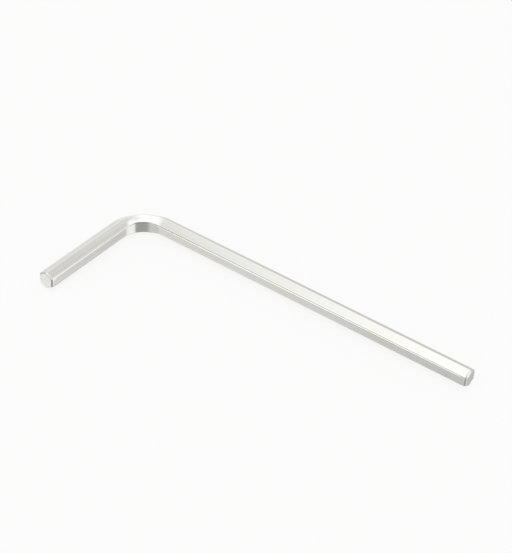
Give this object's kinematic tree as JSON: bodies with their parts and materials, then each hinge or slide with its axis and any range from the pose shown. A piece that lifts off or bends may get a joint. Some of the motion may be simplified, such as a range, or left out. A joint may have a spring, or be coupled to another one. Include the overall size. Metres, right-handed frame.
{
  "type": "hex key",
  "caption": "L-shaped hexagonal key with a long and a short arm, a rounded right-angle bend and squarely cut ends with rolled edges, for turning socket screws.",
  "frame": {"origin": "middle of the end face of the long arm", "axes": "+X out of the long arm's tip, -Y out of the short arm's tip, +Z square to the plane of the bend, up when the key lies flat"},
  "size_m": [0.095, 0.036, 0.0046],
  "materials": {
    "plated_steel": "bright nickel plating over drawn steel"
  },
  "bodies": {
    "root": {"hex_key": "plated_steel"}
  },
  "joints": []
}
